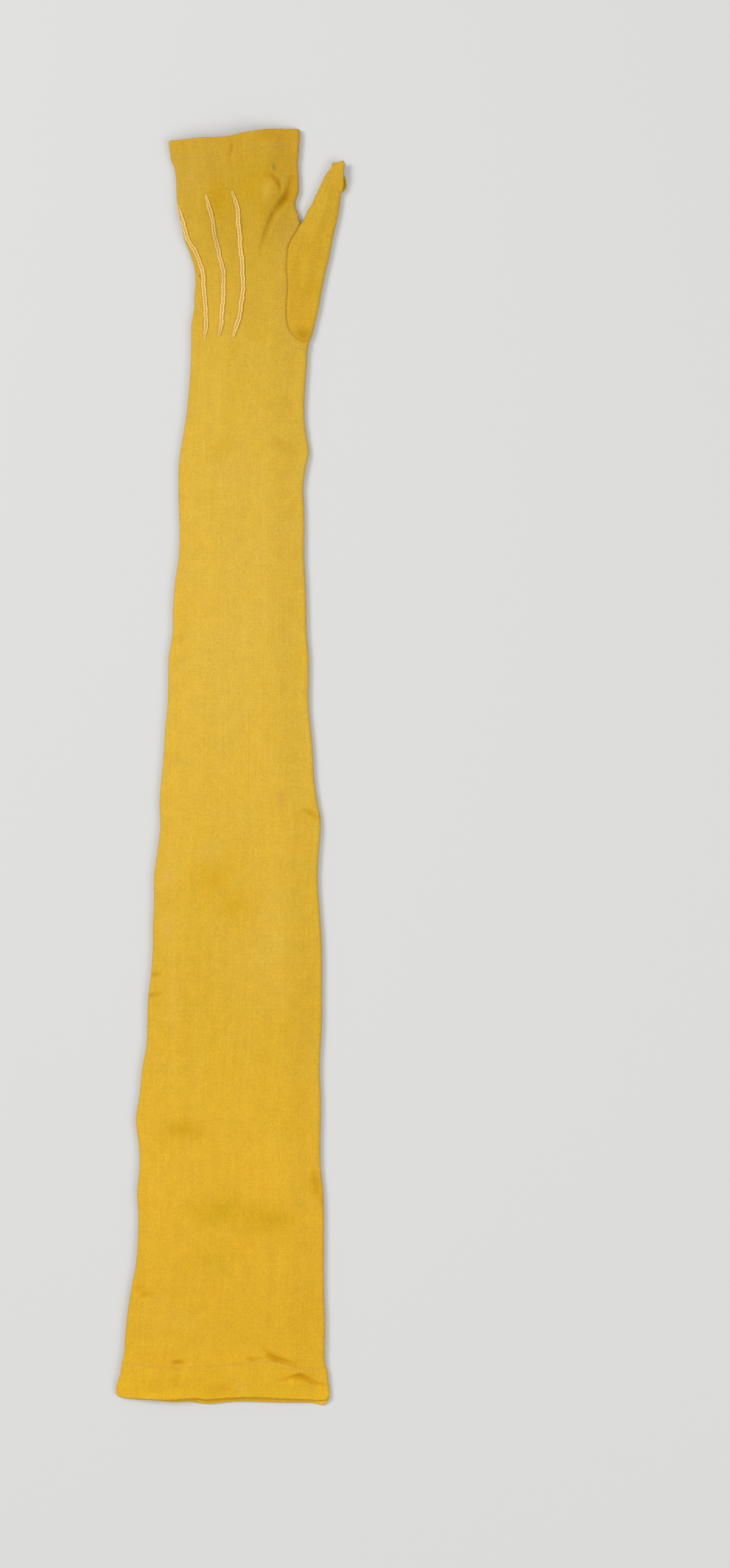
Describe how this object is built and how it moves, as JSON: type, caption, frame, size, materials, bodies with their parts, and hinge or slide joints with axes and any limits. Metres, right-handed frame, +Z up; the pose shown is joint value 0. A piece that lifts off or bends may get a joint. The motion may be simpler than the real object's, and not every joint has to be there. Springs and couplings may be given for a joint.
{
  "type": "evening mitten",
  "caption": "Long fingerless evening mitten of fine knitted silk, lying flat on its palm: tapered arm and hand in one tube, set-in thumb, hemmed openings, raised lines on the back.",
  "frame": {"origin": "on the ground, under the middle of the mitten's bounding box", "axes": "+Y from the arm opening to the finger opening, +X towards the thumb, +Z up out of the back of the hand"},
  "size_m": [0.1288, 0.7194, 0.0097],
  "materials": {
    "silk": "fine knitted silk, soft sheen",
    "thumb_silk": "fine knitted silk, a little darker with wear",
    "embroidery": "pale twisted silk thread"
  },
  "bodies": {
    "root": {"hand_and_arm": "silk", "side_seam": "silk", "finger_hem": "silk", "arm_hem": "silk", "thumb": "thumb_silk", "thumb_edge": "thumb_silk", "thumb_seam": "silk", "point_little_finger": "embroidery", "point_ring_finger": "embroidery", "point_middle_finger": "embroidery"}
  },
  "joints": []
}
